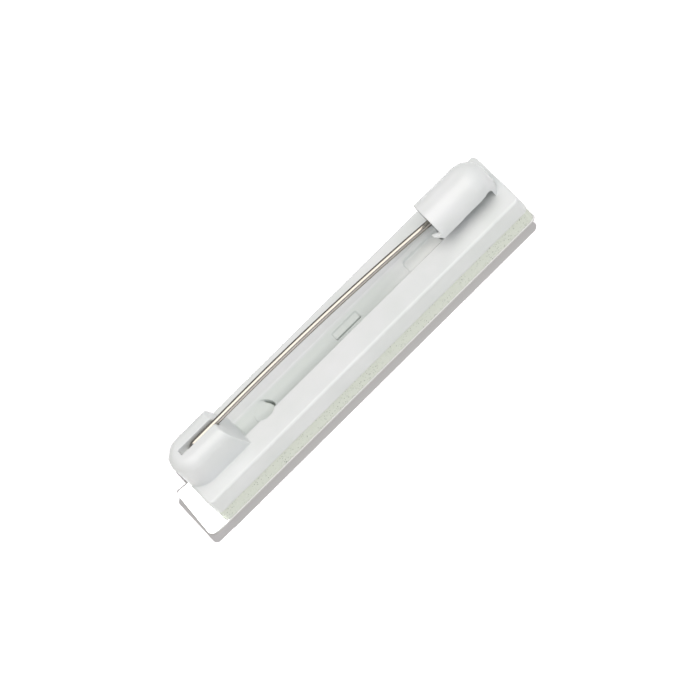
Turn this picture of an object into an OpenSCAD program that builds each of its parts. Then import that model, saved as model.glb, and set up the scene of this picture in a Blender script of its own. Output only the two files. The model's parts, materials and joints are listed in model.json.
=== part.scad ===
// Self-adhesive bar pin: a moulded plastic bar with a wire pin, a knuckle and a safety hood.
// Millimetres. The bar runs along X with the hood at +X, Z is up from the adhesive face,
// and the hood's slit faces -Y.

/* [Bar] */
// Length of the plastic bar
bar_l = 32; // [26:0.5:45]
// Width of the plastic bar
bar_w = 6.35; // [5.6:0.05:9]
// Thickness of the plastic bar
bar_t = 1.6; // [1.2:0.05:2.4]
// Radius of the bar's corners seen from above
bar_corner_r = 0.5; // [0.3:0.05:0.9]
// Rounding of the bar's upper edges
bar_edge_r = 0.2; // [0.1:0.05:0.3]

/* [Trough and recesses] */
// Width of the shallow trough along the bar
trough_w = 1.8; // [1.4:0.1:2.4]
// Depth of the trough
trough_depth = 0.4; // [0.2:0.02:0.44]
// How far the trough lies off the bar's middle, away from the slit's side
trough_y = 0.1; // [0:0.05:0.2]
// Diameter of the round recess beside the knuckle
recess_d = 1.9; // [1.4:0.1:2.4]
// Distance from the knuckle's foot to the middle of the recess
recess_out = 2.35; // [1.5:0.05:3]
// How far the middle of the recess lies off the bar's middle, towards the slit's side
recess_near = 0.1; // [0:0.05:0.2]
// Depth of the recess below the trough at its end towards the hood
recess_depth = 0.3; // [0.15:0.05:0.4]
// Depth of the recess below the trough at its end towards the knuckle
recess_rim = 0.06; // [0.04:0.02:0.1]
// Width of the crescent cut at that end of the recess
crescent_w = 0.18; // [0.14:0.02:0.4]
// Depth of the crescent cut
crescent_depth = 0.85; // [0.6:0.05:0.95]
// Length of the middle pocket
pocket_l = 2.5; // [1.5:0.1:4]
// Width of the middle pocket
pocket_w = 0.8; // [0.5:0.05:1]
// Depth of the pocket's sloping floor beside its slot
pocket_depth = 0.14; // [0.08:0.02:0.2]
// Width of the narrow slot along the pocket's near side
pocket_slot_w = 0.2; // [0.15:0.01:0.3]
// Depth of that slot
pocket_slot_depth = 0.75; // [0.5:0.05:0.9]
// How far the middle pocket lies from the bar's middle towards the hood
pocket_x = 0.43; // [-1:0.05:1]
// Width of the slot under the hood
slot_w = 1.3; // [0.7:0.05:1.5]
// Length of that slot that shows in front of the hood
slot_out = 0.25; // [0.2:0.05:0.8]
// Length of the shallow recess in front of the hood
step_l = 3.55; // [2:0.05:5]
// Depth of the shallow recess in front of the hood
step_depth = 0.08; // [0.06:0.02:0.2]

/* [Knuckle] */
// Length of the knuckle along the bar at its foot
knuckle_l = 5.4; // [4.8:0.1:7]
// Width of the knuckle
knuckle_w = 3.45; // [3:0.05:4.2]
// Height of the knuckle above the bar
knuckle_h = 2.85; // [2.5:0.05:3.2]
// How far the knuckle's open end leans back
knuckle_lean = 0.8; // [0.3:0.05:1.2]
// Rounding of the knuckle's upper edges
knuckle_top_r = 0.85; // [0.5:0.05:0.9]

/* [Hood] */
// Length of the hood along the bar
hood_l = 5.6; // [5:0.1:7]
// How far the hood's closed end lies in from the bar's end
hood_inset = 0.3; // [0:0.05:0.5]
// Width of the hood
hood_w = 3.4; // [3.2:0.05:4.2]
// Height of the hood above the bar
hood_h = 3.05; // [2.6:0.05:3.4]
// Wall of the hood
hood_wall = 0.35; // [0.3:0.01:0.38]
// Rounding of the hood's upper edges
hood_top_r = 1.4; // [0.8:0.05:1.5]
// How far the hood's slit ends short of its closed end
slit_short = 0.7; // [0.6:0.05:1.2]
// Height of the slit along the hood's near side, at the hood's mouth
slit_h = 0.95; // [0.85:0.01:1.1]
// Rise of the slit's upper edge towards the hood's closed end
slit_rise = 0.1; // [0:0.02:0.2]
// How far the guide lip reaches out of the hood's mouth
lip_reach = 0.55; // [0.4:0.05:0.9]
// Height of the guide lip's tip above the slit
lip_h = 1; // [0.7:0.05:1.2]
// Height of the guide lip where it meets the hood
lip_root_h = 0.65; // [0.5:0.05:0.8]

/* [Wire pin] */
// Diameter of the steel wire
wire_d = 0.5; // [0.45:0.01:0.52]
// Depth of the wire's centre below the knuckle's top
wire_sink = 0.38; // [0.26:0.01:0.45]
// Mean diameter of the coil at the wire's root
coil_d = 0.84; // [0.8:0.02:1]
// How far the coil lies behind the knuckle's middle
coil_back = 0.2; // [0:0.05:0.4]
// Turns of the coil
coil_turns = 0.7; // [0.6:0.05:0.8]
// How far the coil's slot runs on behind the coil
coil_slot_back = 0.6; // [0.2:0.05:0.7]
// Rise of the stem's bow over its chord
bow = 0.44; // [0.2:0.02:0.7]
// How far the point reaches into the hood
point_reach = 2.8; // [1.5:0.1:3]
// Length of the sharpened point
point_l = 1.8; // [1:0.1:2.4]

/* [Pad] */
// Thickness of the adhesive foam
foam_t = 1.14; // [0.8:0.02:2]
// How far the foam lies in from the bar's sides
foam_inset = 0.05; // [0:0.01:0.2]
// Thickness of the paper liner
liner_t = 0.12; // [0.1:0.01:0.2]
// How far the liner's tab sticks out past the bar
tab_reach = 1.5; // [1:0.1:3]
// How far the tab's far side lies in from the bar's far side
tab_inset = 0.75; // [0.3:0.05:1.5]
// How much further the tab's near corner reaches than its far corner
tab_skew = 0.2; // [0:0.05:0.4]
// Radius of the tab's corners
tab_corner_r = 0.45; // [0.2:0.05:0.7]

/* [Clearances] */
// Gap between the layers of the pad
layer_gap = 0.02; // [0.01:0.005:0.05]
// Gap between the coil and each side of its slot
coil_gap = 0.06; // [0.05:0.01:0.1]
// Gap between the coil's end and the stem's root
root_gap = 0.05; // [0.04:0.01:0.1]
// Gap between the coil's strands
strand_gap = 0.03; // [0.02:0.01:0.05]
// Gap between the stem and the bar under it in the hood
stem_gap = 0.08; // [0.06:0.01:0.12]
// Gap between the stem and the hood's far wall
side_gap = 0.12; // [0.08:0.01:0.2]

/* [Hidden] */
$fn = 64;
cut = 0.5;
// Overlap that keeps faces from touching along an edge only.
overlap = 0.01;

foam_z = liner_t + layer_gap;
bar_z = foam_z + foam_t + layer_gap;
ledge_z = bar_z + bar_t;

knuckle_x0 = -bar_l / 2;
knuckle_x1 = knuckle_x0 + knuckle_l;
knuckle_z1 = ledge_z + knuckle_h;

hood_x1 = bar_l / 2 - hood_inset;
hood_x0 = hood_x1 - hood_l;
hood_z1 = ledge_z + hood_h;
slit_x1 = hood_x1 - slit_short;
slit_z1 = ledge_z + slit_h;
lip_tip_h = 0.14;
foot_z = ledge_z - bar_t / 2;

groove_r = (trough_w * trough_w / 4 + trough_depth * trough_depth) / (2 * trough_depth);

wire_r = wire_d / 2;
wire_z = knuckle_z1 - wire_sink;
coil_r = coil_d / 2;
coil_x = knuckle_x0 + knuckle_l / 2 - coil_back;
coil_z = wire_z - coil_r;
coil_slot_r = coil_r + wire_r + coil_gap;
strand_pitch = wire_d + strand_gap;
strand_y = -strand_pitch * coil_turns / 2;
coil_slot_w = wire_d - 2 * strand_y + 2 * coil_gap;

// The stem turns about this point, just outside the knuckle's open end.
pivot = [knuckle_x1 - knuckle_lean + wire_d, 0, wire_z];
// The stem's point lies just above the bar, close to the hood's far wall.
point_r = 0.04;
point_end = [
    hood_x0 + point_reach,
    hood_w / 2 - hood_wall - side_gap - wire_r,
    ledge_z + stem_gap + point_r
];
stem_chord = point_end - pivot;
stem_len = norm(stem_chord);
stem_run = stem_chord / stem_len;
bow_r = (stem_len * stem_len / 4 + bow * bow) / (2 * bow);
bow_half = asin(stem_len / 2 / bow_r);
bow_up = cross(stem_run, [-stem_run[1], stem_run[0], 0]) / norm([stem_run[0], stem_run[1]]);
point_turn = 2 * asin(point_l / 2 / bow_r);
root_turn = asin(wire_r / bow_r);

// Rectangle from one corner to the other with round corners of radius r.
module round_rect(low, high, r) {
    translate([low[0] + r, low[1]]) square([high[0] - low[0] - 2 * r, high[1] - low[1]]);
    translate([low[0], low[1] + r]) square([high[0] - low[0], high[1] - low[1] - 2 * r]);
    for (x = [low[0] + r, high[0] - r], y = [low[1] + r, high[1] - r])
        translate([x, y]) circle(r = r);
}

// Side view drawn in X and Z, run across the bar over the given width.
module across(width) {
    translate([0, width / 2, 0]) rotate([90, 0, 0]) linear_extrude(width) children();
}

// End view drawn in Y and Z, run along the bar from x0 to x1.
module along(x0, x1) {
    translate([x0, 0, 0]) rotate([90, 0, 90]) linear_extrude(x1 - x0) children();
}

// End view in Y and Z with upright sides from z0 and upper corners of radius r.
module end_view(half, z0, z1, r) {
    intersection() {
        round_rect([-half, z0 - r], [half, z1], r);
        translate([-half, z0]) square([2 * half, z1 - z0]);
    }
}

// Block from x0 to x1 with that end view, half-round at x1 seen from above.
module thimble(x0, x1, half, z0, z1, r) {
    end_x = x1 - half;
    along(x0, end_x) end_view(half, z0, z1, r);
    translate([end_x, 0, 0]) rotate([0, 0, -90]) rotate_extrude(angle = 180)
        intersection() {
            end_view(half, z0, z1, r);
            translate([0, z0]) square([half, z1 - z0]);
        }
}

module bar_body() {
    reach = bar_w / 2;
    intersection() {
        translate([0, 0, bar_z]) linear_extrude(bar_t)
            round_rect([-bar_l / 2, -reach], [bar_l / 2, reach], bar_corner_r);
        along(-bar_l / 2, bar_l / 2)
            round_rect([-reach, bar_z - cut], [reach, ledge_z], bar_edge_r);
        across(bar_w)
            round_rect([-bar_l / 2, bar_z - cut], [bar_l / 2, ledge_z], bar_edge_r);
    }
}

module trough() {
    translate([knuckle_x1 - cut, trough_y, ledge_z - trough_depth + groove_r]) rotate([0, 90, 0])
        cylinder(r = groove_r, h = slit_x1 - knuckle_x1 + cut, $fn = 2 * $fn);
}

// Round recess beside the knuckle, its floor hollow like the trough and sloping down towards
// the hood to a crescent cut.
module knuckle_recess() {
    floor_z = ledge_z - trough_depth - (recess_depth + recess_rim) / 2;
    slope = atan((recess_depth - recess_rim) / recess_d);
    translate([knuckle_x1 + recess_out, -recess_near, 0]) {
        intersection() {
            translate([0, 0, bar_z]) cylinder(d = recess_d, h = bar_t + cut);
            translate([0, 0, floor_z]) rotate([0, slope, 0])
                translate([-recess_d, 0, groove_r]) rotate([0, 90, 0])
                    cylinder(r = groove_r, h = 2 * recess_d, $fn = 2 * $fn);
        }
        translate([0, 0, ledge_z - trough_depth - crescent_depth])
            linear_extrude(crescent_depth + cut) difference() {
                circle(d = recess_d);
                translate([-crescent_w, 0]) circle(d = recess_d);
            }
    }
}

// Middle pocket, its floor sloping down to a narrow slot along its near side.
module middle_pocket() {
    near_y = trough_y - pocket_w / 3;
    slot_y = near_y + pocket_slot_w;
    floor_z = ledge_z - trough_depth;
    along(pocket_x - pocket_l / 2, pocket_x + pocket_l / 2)
        polygon([
            [near_y, floor_z - pocket_slot_depth],
            [near_y, ledge_z + cut],
            [near_y + pocket_w, ledge_z + cut],
            [near_y + pocket_w, floor_z],
            [slot_y, floor_z - pocket_depth],
            [slot_y, floor_z - pocket_slot_depth]
        ]);
}

// Slot through the bar under the hood, with a shallow recess in front of it.
module hood_slot() {
    half = slot_w / 2;
    step_z = ledge_z - trough_depth - step_depth;
    translate([0, trough_y, bar_z - cut]) linear_extrude(bar_t + 2 * cut)
        round_rect([hood_x0 - slot_out, -half], [slit_x1, half], half - overlap);
    translate([0, trough_y, step_z]) linear_extrude(bar_t)
        round_rect([hood_x0 - step_l, -half], [hood_x0, half], half / 2);
}

module knuckle_block() {
    lean = knuckle_lean / knuckle_h;
    foot_x = knuckle_x1 + lean * (ledge_z - foot_z);
    intersection() {
        rotate([0, 0, 180])
            thimble(-foot_x, -knuckle_x0, knuckle_w / 2, foot_z, knuckle_z1, knuckle_top_r);
        across(knuckle_w) polygon([
            [knuckle_x0, foot_z],
            [foot_x, foot_z],
            [knuckle_x1 - knuckle_lean, knuckle_z1],
            [knuckle_x0, knuckle_z1]
        ]);
    }
}

// The slot that holds the wire's coil: round under the coil, open above and towards the hood,
// and run on a little behind the coil.
module coil_slot() {
    floor_z = wire_z - wire_r - coil_gap;
    across(coil_slot_w) {
        translate([coil_x, coil_z]) circle(r = coil_slot_r);
        translate([coil_x - coil_slot_r, coil_z])
            square([2 * coil_slot_r, knuckle_z1 - coil_z + cut]);
        translate([coil_x - coil_slot_r - coil_slot_back, floor_z])
            square([knuckle_l, knuckle_z1 - floor_z + cut]);
    }
}

module hood_block() {
    thimble(hood_x0, hood_x1, hood_w / 2, foot_z, hood_z1, hood_top_r);
}

// The hood's hollow, open at its mouth and with the same wall all round.
module hood_hollow() {
    thimble(hood_x0 - cut, hood_x1 - hood_wall, hood_w / 2 - hood_wall, ledge_z,
        hood_z1 - hood_wall, hood_top_r - hood_wall);
}

// The slit along the hood's near side, which lets the stem out.
module hood_slit() {
    translate([0, -hood_w / 4 - cut, 0]) across(hood_w / 2 + 2 * cut) polygon([
        [hood_x0 - cut, ledge_z],
        [slit_x1, ledge_z],
        [slit_x1, slit_z1 + slit_rise],
        [hood_x0, slit_z1],
        [hood_x0 - cut, slit_z1]
    ]);
}

// The lip that guides the stem under the hood's near wall, with its lower corner cut back.
module guide_lip() {
    tip_x = hood_x0 - lip_reach;
    translate([0, (hood_wall - hood_w) / 2, 0]) across(hood_wall) polygon([
        [hood_x0 + cut, slit_z1 + overlap],
        [hood_x0, slit_z1],
        [tip_x, slit_z1 + lip_h - lip_tip_h],
        [tip_x, slit_z1 + lip_h],
        [hood_x0, slit_z1 + lip_root_h],
        [hood_x0 + cut, slit_z1 + lip_root_h]
    ]);
}

module base() {
    color("#e6e7e8") {
        difference() {
            union() {
                difference() {
                    bar_body();
                    trough();
                }
                knuckle_block();
                hood_block();
            }
            coil_slot();
            hood_hollow();
            hood_slit();
            knuckle_recess();
            middle_pocket();
            hood_slot();
        }
        guide_lip();
    }
}

// A point on the coil's centre line after the given turn in degrees, from its top towards -X.
function coil_at(turn) = [
    coil_x - coil_r * sin(turn),
    strand_y + strand_pitch * turn / 360,
    coil_z + coil_r * cos(turn)
];

// Tube of wire along a list of points that stays close to a plane across Y, each point with
// the wire's radius there.
module wire_tube(points, radii) {
    sides = 10;
    last = len(points) - 1;
    rings = [for (i = [0 : last])
        let (step = points[min(i + 1, last)] - points[max(i - 1, 0)],
            run = step / norm(step),
            out = cross([0, 1, 0], run),
            up = out / norm(out),
            side = cross(run, up))
        [for (k = [0 : sides - 1])
            points[i] + radii[i] * (cos(360 * k / sides) * up + sin(360 * k / sides) * side)]
    ];
    polyhedron(
        points = [for (ring = rings, p = ring) p],
        faces = concat(
            [[for (k = [0 : sides - 1]) k]],
            [for (i = [0 : last - 1], k = [0 : sides - 1])
                let (a = i * sides + k, b = i * sides + (k + 1) % sides)
                [a, a + sides, b + sides, b]],
            [[for (k = [sides - 1 : -1 : 0]) last * sides + k]]
        )
    );
}

module pin_coil() {
    lead_x = pivot[0] - wire_r - root_gap;
    lead_l = 0.3;
    turns = [for (turn = [0 : 20 : 360 * coil_turns]) coil_at(turn)];
    lead = [
        [lead_x, 0, wire_z],
        [lead_x - lead_l, 0, wire_z],
        [(lead_x + coil_x) / 2, strand_y / 2, wire_z]
    ];
    path = concat(lead, turns);
    color("#c9c5bd") wire_tube(path, [for (p = path) wire_r]);
}

// A point on the bowed stem's centre line, from -bow_half at the root to bow_half at the point.
function stem_at(turn) = pivot + stem_chord / 2
    + bow_r * sin(turn) * stem_run + (bow_r * cos(turn) - bow_r + bow) * bow_up;

// The stem has a round root and tapers to its point.
module pin_stem() {
    root = [for (a = [75 : -25 : 25]) a];
    shaft_end = bow_half - point_turn;
    shaft_steps = 20;
    shaft = [for (i = [0 : shaft_steps]) -bow_half + (shaft_end + bow_half) * i / shaft_steps];
    path = concat(
        [for (a = root) stem_at(-bow_half - root_turn * sin(a))],
        [for (turn = shaft) stem_at(turn)],
        [stem_at(bow_half)]
    );
    radii = concat([for (a = root) wire_r * cos(a)], [for (turn = shaft) wire_r], [point_r]);
    color("#c9c5bd") wire_tube(path, radii);
}

module foam_pad() {
    reach = bar_w / 2 - foam_inset;
    color("#d9ded4") translate([0, 0, foam_z]) linear_extrude(foam_t)
        round_rect([-bar_l / 2 + foam_inset, -reach], [bar_l / 2 - foam_inset, reach],
            bar_corner_r - foam_inset / 2);
}

module release_liner() {
    reach = bar_w / 2 - foam_inset;
    r = tab_corner_r;
    overlap_x = tab_reach / 2 - bar_l / 2;
    near_x = -bar_l / 2 - tab_reach;
    far_x = near_x + tab_skew;
    far_y = reach - tab_inset;
    color("#fdfdfb") linear_extrude(liner_t) {
        round_rect([-bar_l / 2, -reach], [bar_l / 2, reach], bar_corner_r);
        translate([near_x + r, -reach + r]) circle(r = r);
        translate([far_x + r, far_y - r]) circle(r = r);
        polygon([
            [near_x + r, -reach],
            [overlap_x, -reach],
            [overlap_x, far_y],
            [far_x + r, far_y],
            [far_x, far_y - r],
            [near_x, r - reach]
        ]);
    }
}

base();
pin_coil();
pin_stem();
foam_pad();
release_liner();
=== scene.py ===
import json
import math

import bmesh
import bpy
from mathutils import Matrix, Vector


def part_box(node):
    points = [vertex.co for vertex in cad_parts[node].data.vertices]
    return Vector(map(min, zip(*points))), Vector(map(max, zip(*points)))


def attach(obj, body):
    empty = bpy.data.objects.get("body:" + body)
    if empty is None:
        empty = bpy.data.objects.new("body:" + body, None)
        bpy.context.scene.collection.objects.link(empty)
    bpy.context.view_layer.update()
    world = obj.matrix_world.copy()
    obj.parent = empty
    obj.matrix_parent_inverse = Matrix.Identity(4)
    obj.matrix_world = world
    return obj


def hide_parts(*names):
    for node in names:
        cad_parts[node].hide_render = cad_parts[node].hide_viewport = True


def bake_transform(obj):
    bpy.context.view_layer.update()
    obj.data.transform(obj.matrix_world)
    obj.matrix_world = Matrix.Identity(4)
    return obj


bl_info = {
    "name": "Bar Pin Finding",
    "version": (1, 0, 0),
    "blender": (4, 5, 0),
    "location": "View3D > Sidebar > Bar Pin",
    "description": "Builds a bar pin from its moulded bar, wire pin, foam pad and paper liner",
    "category": "Add Mesh",
}

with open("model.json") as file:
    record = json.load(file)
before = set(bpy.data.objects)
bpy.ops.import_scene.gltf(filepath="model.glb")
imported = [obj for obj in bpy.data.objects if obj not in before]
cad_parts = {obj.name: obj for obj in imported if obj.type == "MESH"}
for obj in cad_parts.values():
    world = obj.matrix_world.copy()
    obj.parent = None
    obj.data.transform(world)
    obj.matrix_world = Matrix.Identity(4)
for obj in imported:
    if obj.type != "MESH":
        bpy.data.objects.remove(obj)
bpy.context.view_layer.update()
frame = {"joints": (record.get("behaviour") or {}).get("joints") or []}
MM = 0.001

# The frame's own places, in millimetres.
BAR_LOW, BAR_HIGH = (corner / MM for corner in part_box("base"))
FOAM_LOW, FOAM_HIGH = (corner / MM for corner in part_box("foam_pad"))
LINER_LOW, LINER_HIGH = (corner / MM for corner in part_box("release_liner"))
PIVOT = Vector(frame["joints"][0]["pos_m"]) / MM

OVER = 0.5  # how far a cutting solid runs past what it cuts
ROOT = 0.8  # how far the knuckle and the hood reach down into the bar
LIT_BY_FLOOR_LIGHT = "Floor Light Receivers"

# Settings that several nodes share.
SMOOTH = {"interpolation_type": "SMOOTHSTEP"}
COLOURS = {"data_type": "RGBA"}
MULTIPLY = {"operation": "MULTIPLY"}


def length(name, description, default, low=0.0):
    """A size in millimetres that a user may change."""
    return bpy.props.FloatProperty(
        name=name, description=description, default=default, min=low, precision=3
    )


def colour(name, description, default):
    """A colour that a user may change, given as an sRGB hex value."""
    return bpy.props.StringProperty(name=name, description=description, default=default)


class BarPinSizes(bpy.types.PropertyGroup):
    """Sizes of the finding's pieces, in millimetres"""

    bar_thickness: length("Bar thickness", "Plastic under the ledge", 1.6, 0.5)
    bar_corner: length("Bar corner", "Radius of the bar's corners from above", 0.5, 0.1)
    bar_edge: length("Bar edge", "Rounding of the bar's upper edges", 0.2, 0.05)
    trough_width: length("Trough width", "Shallow trough along the bar", 1.8, 0.5)
    trough_depth: length("Trough depth", "Depth of the trough", 0.4, 0.05)
    trough_place: length("Trough place", "How far the trough lies off the bar's middle", 0.1, -1)
    recess: length("Recess", "Diameter of the round recess beside the knuckle", 1.9, 0.5)
    recess_out: length("Recess place", "From the knuckle's foot to the recess's middle", 2.35, 1)
    recess_near: length("Recess side", "How far it lies off the bar's middle", 0.1)
    recess_depth: length("Recess depth", "Depth under the trough towards the hood", 0.3, 0.1)
    recess_rim: length("Recess rim", "Depth under the trough towards the knuckle", 0.06, 0.02)
    crescent_width: length("Crescent width", "Crescent cut at that end", 0.18, 0.1)
    crescent_depth: length("Crescent depth", "Depth of the crescent cut", 0.85, 0.1)
    pocket_length: length("Pocket length", "Length of the middle pocket", 2.5, 0.5)
    pocket_width: length("Pocket width", "Width of the middle pocket", 0.8, 0.1)
    pocket_depth: length("Pocket depth", "Depth of its floor beside its slot", 0.14, 0.02)
    pocket_slot_width: length("Pocket slot width", "Narrow slot on the near side", 0.3, 0.1)
    pocket_slot_depth: length("Pocket slot depth", "Depth of that slot", 0.75, 0.2)
    pocket_place: length("Pocket place", "From the bar's middle towards the hood", 0.43, -5)
    slot_width: length("Slot width", "Width of the slot under the hood", 1.3, 0.2)
    slot_out: length("Slot length", "Length that shows in front of the hood", 0.25)
    step_length: length("Step length", "Shallow recess in front of the hood", 3.55, 0.5)
    step_depth: length("Step depth", "Depth of that recess", 0.08, 0.02)
    knuckle_length: length("Knuckle length", "Knuckle along the bar at its foot", 5.4, 1)
    knuckle_width: length("Knuckle width", "Knuckle across the bar", 3.45, 1)
    knuckle_height: length("Knuckle height", "Knuckle above the ledge", 2.85, 1)
    knuckle_lean: length("Knuckle lean", "How far the open end leans back", 0.8)
    knuckle_top: length("Knuckle top", "Rounding of the upper edges", 0.85, 0.1)
    coil_slot_width: length("Coil slot", "Width of the slot for the coil", 0.64, 0.5)
    coil_slot_back: length("Coil slot back", "How far that slot runs on behind the coil", 0.6)
    hood_length: length("Hood length", "Hood along the bar", 5.6, 1)
    hood_inset: length("Hood inset", "From the bar's end to the hood's closed end", 0.3)
    hood_width: length("Hood width", "Hood across the bar", 3.4, 1)
    hood_wall: length("Hood wall", "Wall of the hood", 0.35, 0.1)
    hood_top: length("Hood top", "Rounding of the upper edges", 1.4, 0.2)
    slit_short: length("Slit end", "How far the slit ends short of the closed end", 0.7, 0.2)
    slit_height: length("Slit height", "Slit at the hood's mouth", 0.95, 0.3)
    slit_rise: length("Slit rise", "Rise of the slit's upper edge", 0.1)
    lip_reach: length("Lip reach", "How far the guide lip stands out of the mouth", 0.55)
    lip_height: length("Lip height", "Guide lip's tip above the slit", 1.0, 0.2)
    lip_root: length("Lip root", "Guide lip's height where it meets the hood", 0.65, 0.2)
    wire: length("Wire", "Diameter of the steel wire", 0.5, 0.1)
    coil: length("Coil", "Mean diameter of the coil at the root", 0.84, 0.5)
    coil_back: length("Coil place", "How far the coil lies behind the knuckle's middle", 0.2)
    strand_pitch: length("Strand pitch", "Rise of the coil for each turn", 0.04)
    bow: length("Bow", "Rise of the stem's bow over its chord", 0.44)
    point: length("Point", "Length of the sharpened point", 1.8, 0.5)
    point_reach: length("Point reach", "How far the point reaches into the hood", 2.8, 0.5)
    pore: length("Pore", "Spacing of the foam's open cells", 0.34, 0.1)
    pore_depth: length("Pore depth", "Depth of the foam's open cells", 0.07)
    liner_corner: length("Liner corner", "Radius of the liner's corners", 0.5, 0.1)
    tab_corner: length("Tab corner", "Radius of the tab's corners", 0.45, 0.1)
    tab_inset: length("Tab inset", "How far the tab lies in from the far side", 0.75)
    tab_skew: length("Tab skew", "How much further the tab's near corner reaches", 0.2)
    tab_curl: length("Tab curl", "How far the tab's end lifts off the floor", 0.22)


class BarPinFinish(bpy.types.PropertyGroup):
    """Colours of the finding's materials, as sRGB hex values"""

    plastic: colour("Plastic", "Moulded white plastic", "#E9EAEB")
    plastic_shade: colour("Plastic shade", "Cloudy parts of the moulding", "#E1E4E3")
    # Painted shade: a darker tint for the trough's hollow, standing in for the shade that falls
    # there.
    plastic_trough_shade: colour("Plastic trough shade", "Painted shade in the trough's hollow", "#D7DCD9")
    # Painted reflection: a dark edge tint that stands in for dark surroundings seen in the wire's
    # edges.
    steel: colour("Steel", "Nickel-plated spring wire", "#B4AEA6")
    steel_painted_edge: colour("Steel edge", "Painted dark reflection at the wire's edges", "#2A2622")
    foam: colour("Foam", "Closed-cell foam", "#E4E8DE")
    # Painted shade: the dark colour of the specks that stand in for shaded open cells.
    foam_pore_shade: colour("Foam pore", "Painted shade in the foam's open cells", "#A9AFA3")
    paper: colour("Paper", "Coated release paper", "#FBFBFA")
    floor: colour("Floor", "Plain studio floor", "#B3B1B3")


def linear(hex_value):
    """The linear colour of an sRGB hex value."""
    channels = [int(hex_value[i : i + 2], 16) / 255 for i in (1, 3, 5)]
    flat = [c / 12.92 if c <= 0.04045 else ((c + 0.055) / 1.055) ** 2.4 for c in channels]
    return (*flat, 1.0)


def per_mm(size):
    """The texture scale that gives a pattern this many millimetres across."""
    return 1 / (size * MM)


def add_node(tree, kind, settings=None, inputs=None):
    """Adds a node, sets it up and links or sets its inputs."""
    node = tree.nodes.new(kind)
    for name, value in (settings or {}).items():
        setattr(node, name, value)
    for key, value in (inputs or {}).items():
        if isinstance(value, bpy.types.NodeSocket):
            tree.links.new(value, node.inputs[key])
        else:
            node.inputs[key].default_value = value
    return node


def new_material(name, surface):
    """A material with an empty tree, its Principled shader and its Object coordinates."""
    material = bpy.data.materials.new(name)
    material.use_nodes = True
    tree = material.node_tree
    tree.nodes.clear()
    shader = add_node(tree, "ShaderNodeBsdfPrincipled", inputs=surface)
    add_node(tree, "ShaderNodeOutputMaterial", inputs={"Surface": shader.outputs[0]})
    place = add_node(tree, "ShaderNodeTexCoord").outputs["Object"]
    return material, tree, shader, place


def painted_trough_shade(tree, place, sizes):
    """Painted shade: 1 in the trough and the cuts in it, where the plastic is tinted darker, and 0
    elsewhere.
    """
    split = add_node(tree, "ShaderNodeSeparateXYZ", inputs={"Vector": place})
    top = ledge_height(sizes) * MM
    depth = add_node(
        tree,
        "ShaderNodeMapRange",
        SMOOTH,
        {
            "Value": split.outputs["Z"],
            "From Min": top,
            "From Max": top - sizes.trough_depth * MM / 2,
        },
    )
    reach = (sizes.trough_width / 2 + sizes.trough_place) * MM
    across = {0: split.outputs["Y"], 1: 0.0, 2: reach}
    in_trough = add_node(tree, "ShaderNodeMath", {"operation": "COMPARE"}, across)
    # The painted shade is left off at the hood, and comes in over this stretch in front of its
    # mouth.
    mouth, shade_gone, shade_full = hood_ends(sizes)[0] * MM, 2 * MM, 7 * MM
    along = add_node(
        tree,
        "ShaderNodeMapRange",
        SMOOTH,
        {
            "Value": split.outputs["X"],
            "From Min": mouth - shade_gone,
            "From Max": mouth - shade_full,
        },
    )
    mask = depth.outputs["Result"]
    for other in (in_trough.outputs[0], along.outputs["Result"]):
        mask = add_node(tree, "ShaderNodeMath", MULTIPLY, {0: mask, 1: other}).outputs[0]
    return mask


def moulded_polystyrene(finish, sizes):
    """White polystyrene from an injection mould: satin, a little cloudy, light soaks in."""
    material, tree, shader, place = new_material(
        "Moulded Polystyrene",
        {
            "Roughness": 0.36,
            "IOR": 1.59,
            "Specular IOR Level": 0.42,
            "Subsurface Weight": 0.35,
            "Subsurface Radius": (1.0, 1.0, 0.95),
            "Subsurface Scale": 0.2 * MM,
        },
    )
    cloud = add_node(
        tree,
        "ShaderNodeTexNoise",
        inputs={"Vector": place, "Scale": per_mm(4.5), "Detail": 3.0, "Roughness": 0.55},
    )
    blend = add_node(
        tree,
        "ShaderNodeMapRange",
        inputs={"Value": cloud.outputs["Fac"], "From Min": 0.35, "From Max": 0.7},
    )
    tint = add_node(
        tree,
        "ShaderNodeMix",
        COLOURS,
        {
            "Factor": blend.outputs["Result"],
            "A": linear(finish.plastic),
            "B": linear(finish.plastic_shade),
        },
    )
    # Painted shade: the trough's hollow is tinted darker, fading out in front of the hood.
    tint = add_node(
        tree,
        "ShaderNodeMix",
        COLOURS,
        {
            "Factor": painted_trough_shade(tree, place, sizes),
            "A": tint.outputs["Result"],
            "B": linear(finish.plastic_trough_shade),
        },
    )
    tree.links.new(tint.outputs["Result"], shader.inputs["Base Color"])
    # The mould's fine spark-eroded grain, drawn at 0.16 mm so that it shows.
    grain = add_node(
        tree, "ShaderNodeTexNoise", inputs={"Vector": place, "Scale": per_mm(0.16), "Detail": 2.0}
    )
    sink = add_node(
        tree, "ShaderNodeTexNoise", inputs={"Vector": place, "Scale": per_mm(2.2), "Detail": 1.0}
    )
    height = add_node(
        tree,
        "ShaderNodeMath",
        {"operation": "MULTIPLY_ADD"},
        {0: sink.outputs["Fac"], 1: 5.0, 2: grain.outputs["Fac"]},
    )
    bump = add_node(
        tree,
        "ShaderNodeBump",
        inputs={"Height": height.outputs[0], "Strength": 0.25, "Distance": 0.01 * MM},
    )
    tree.links.new(bump.outputs["Normal"], shader.inputs["Normal"])
    return material


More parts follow.
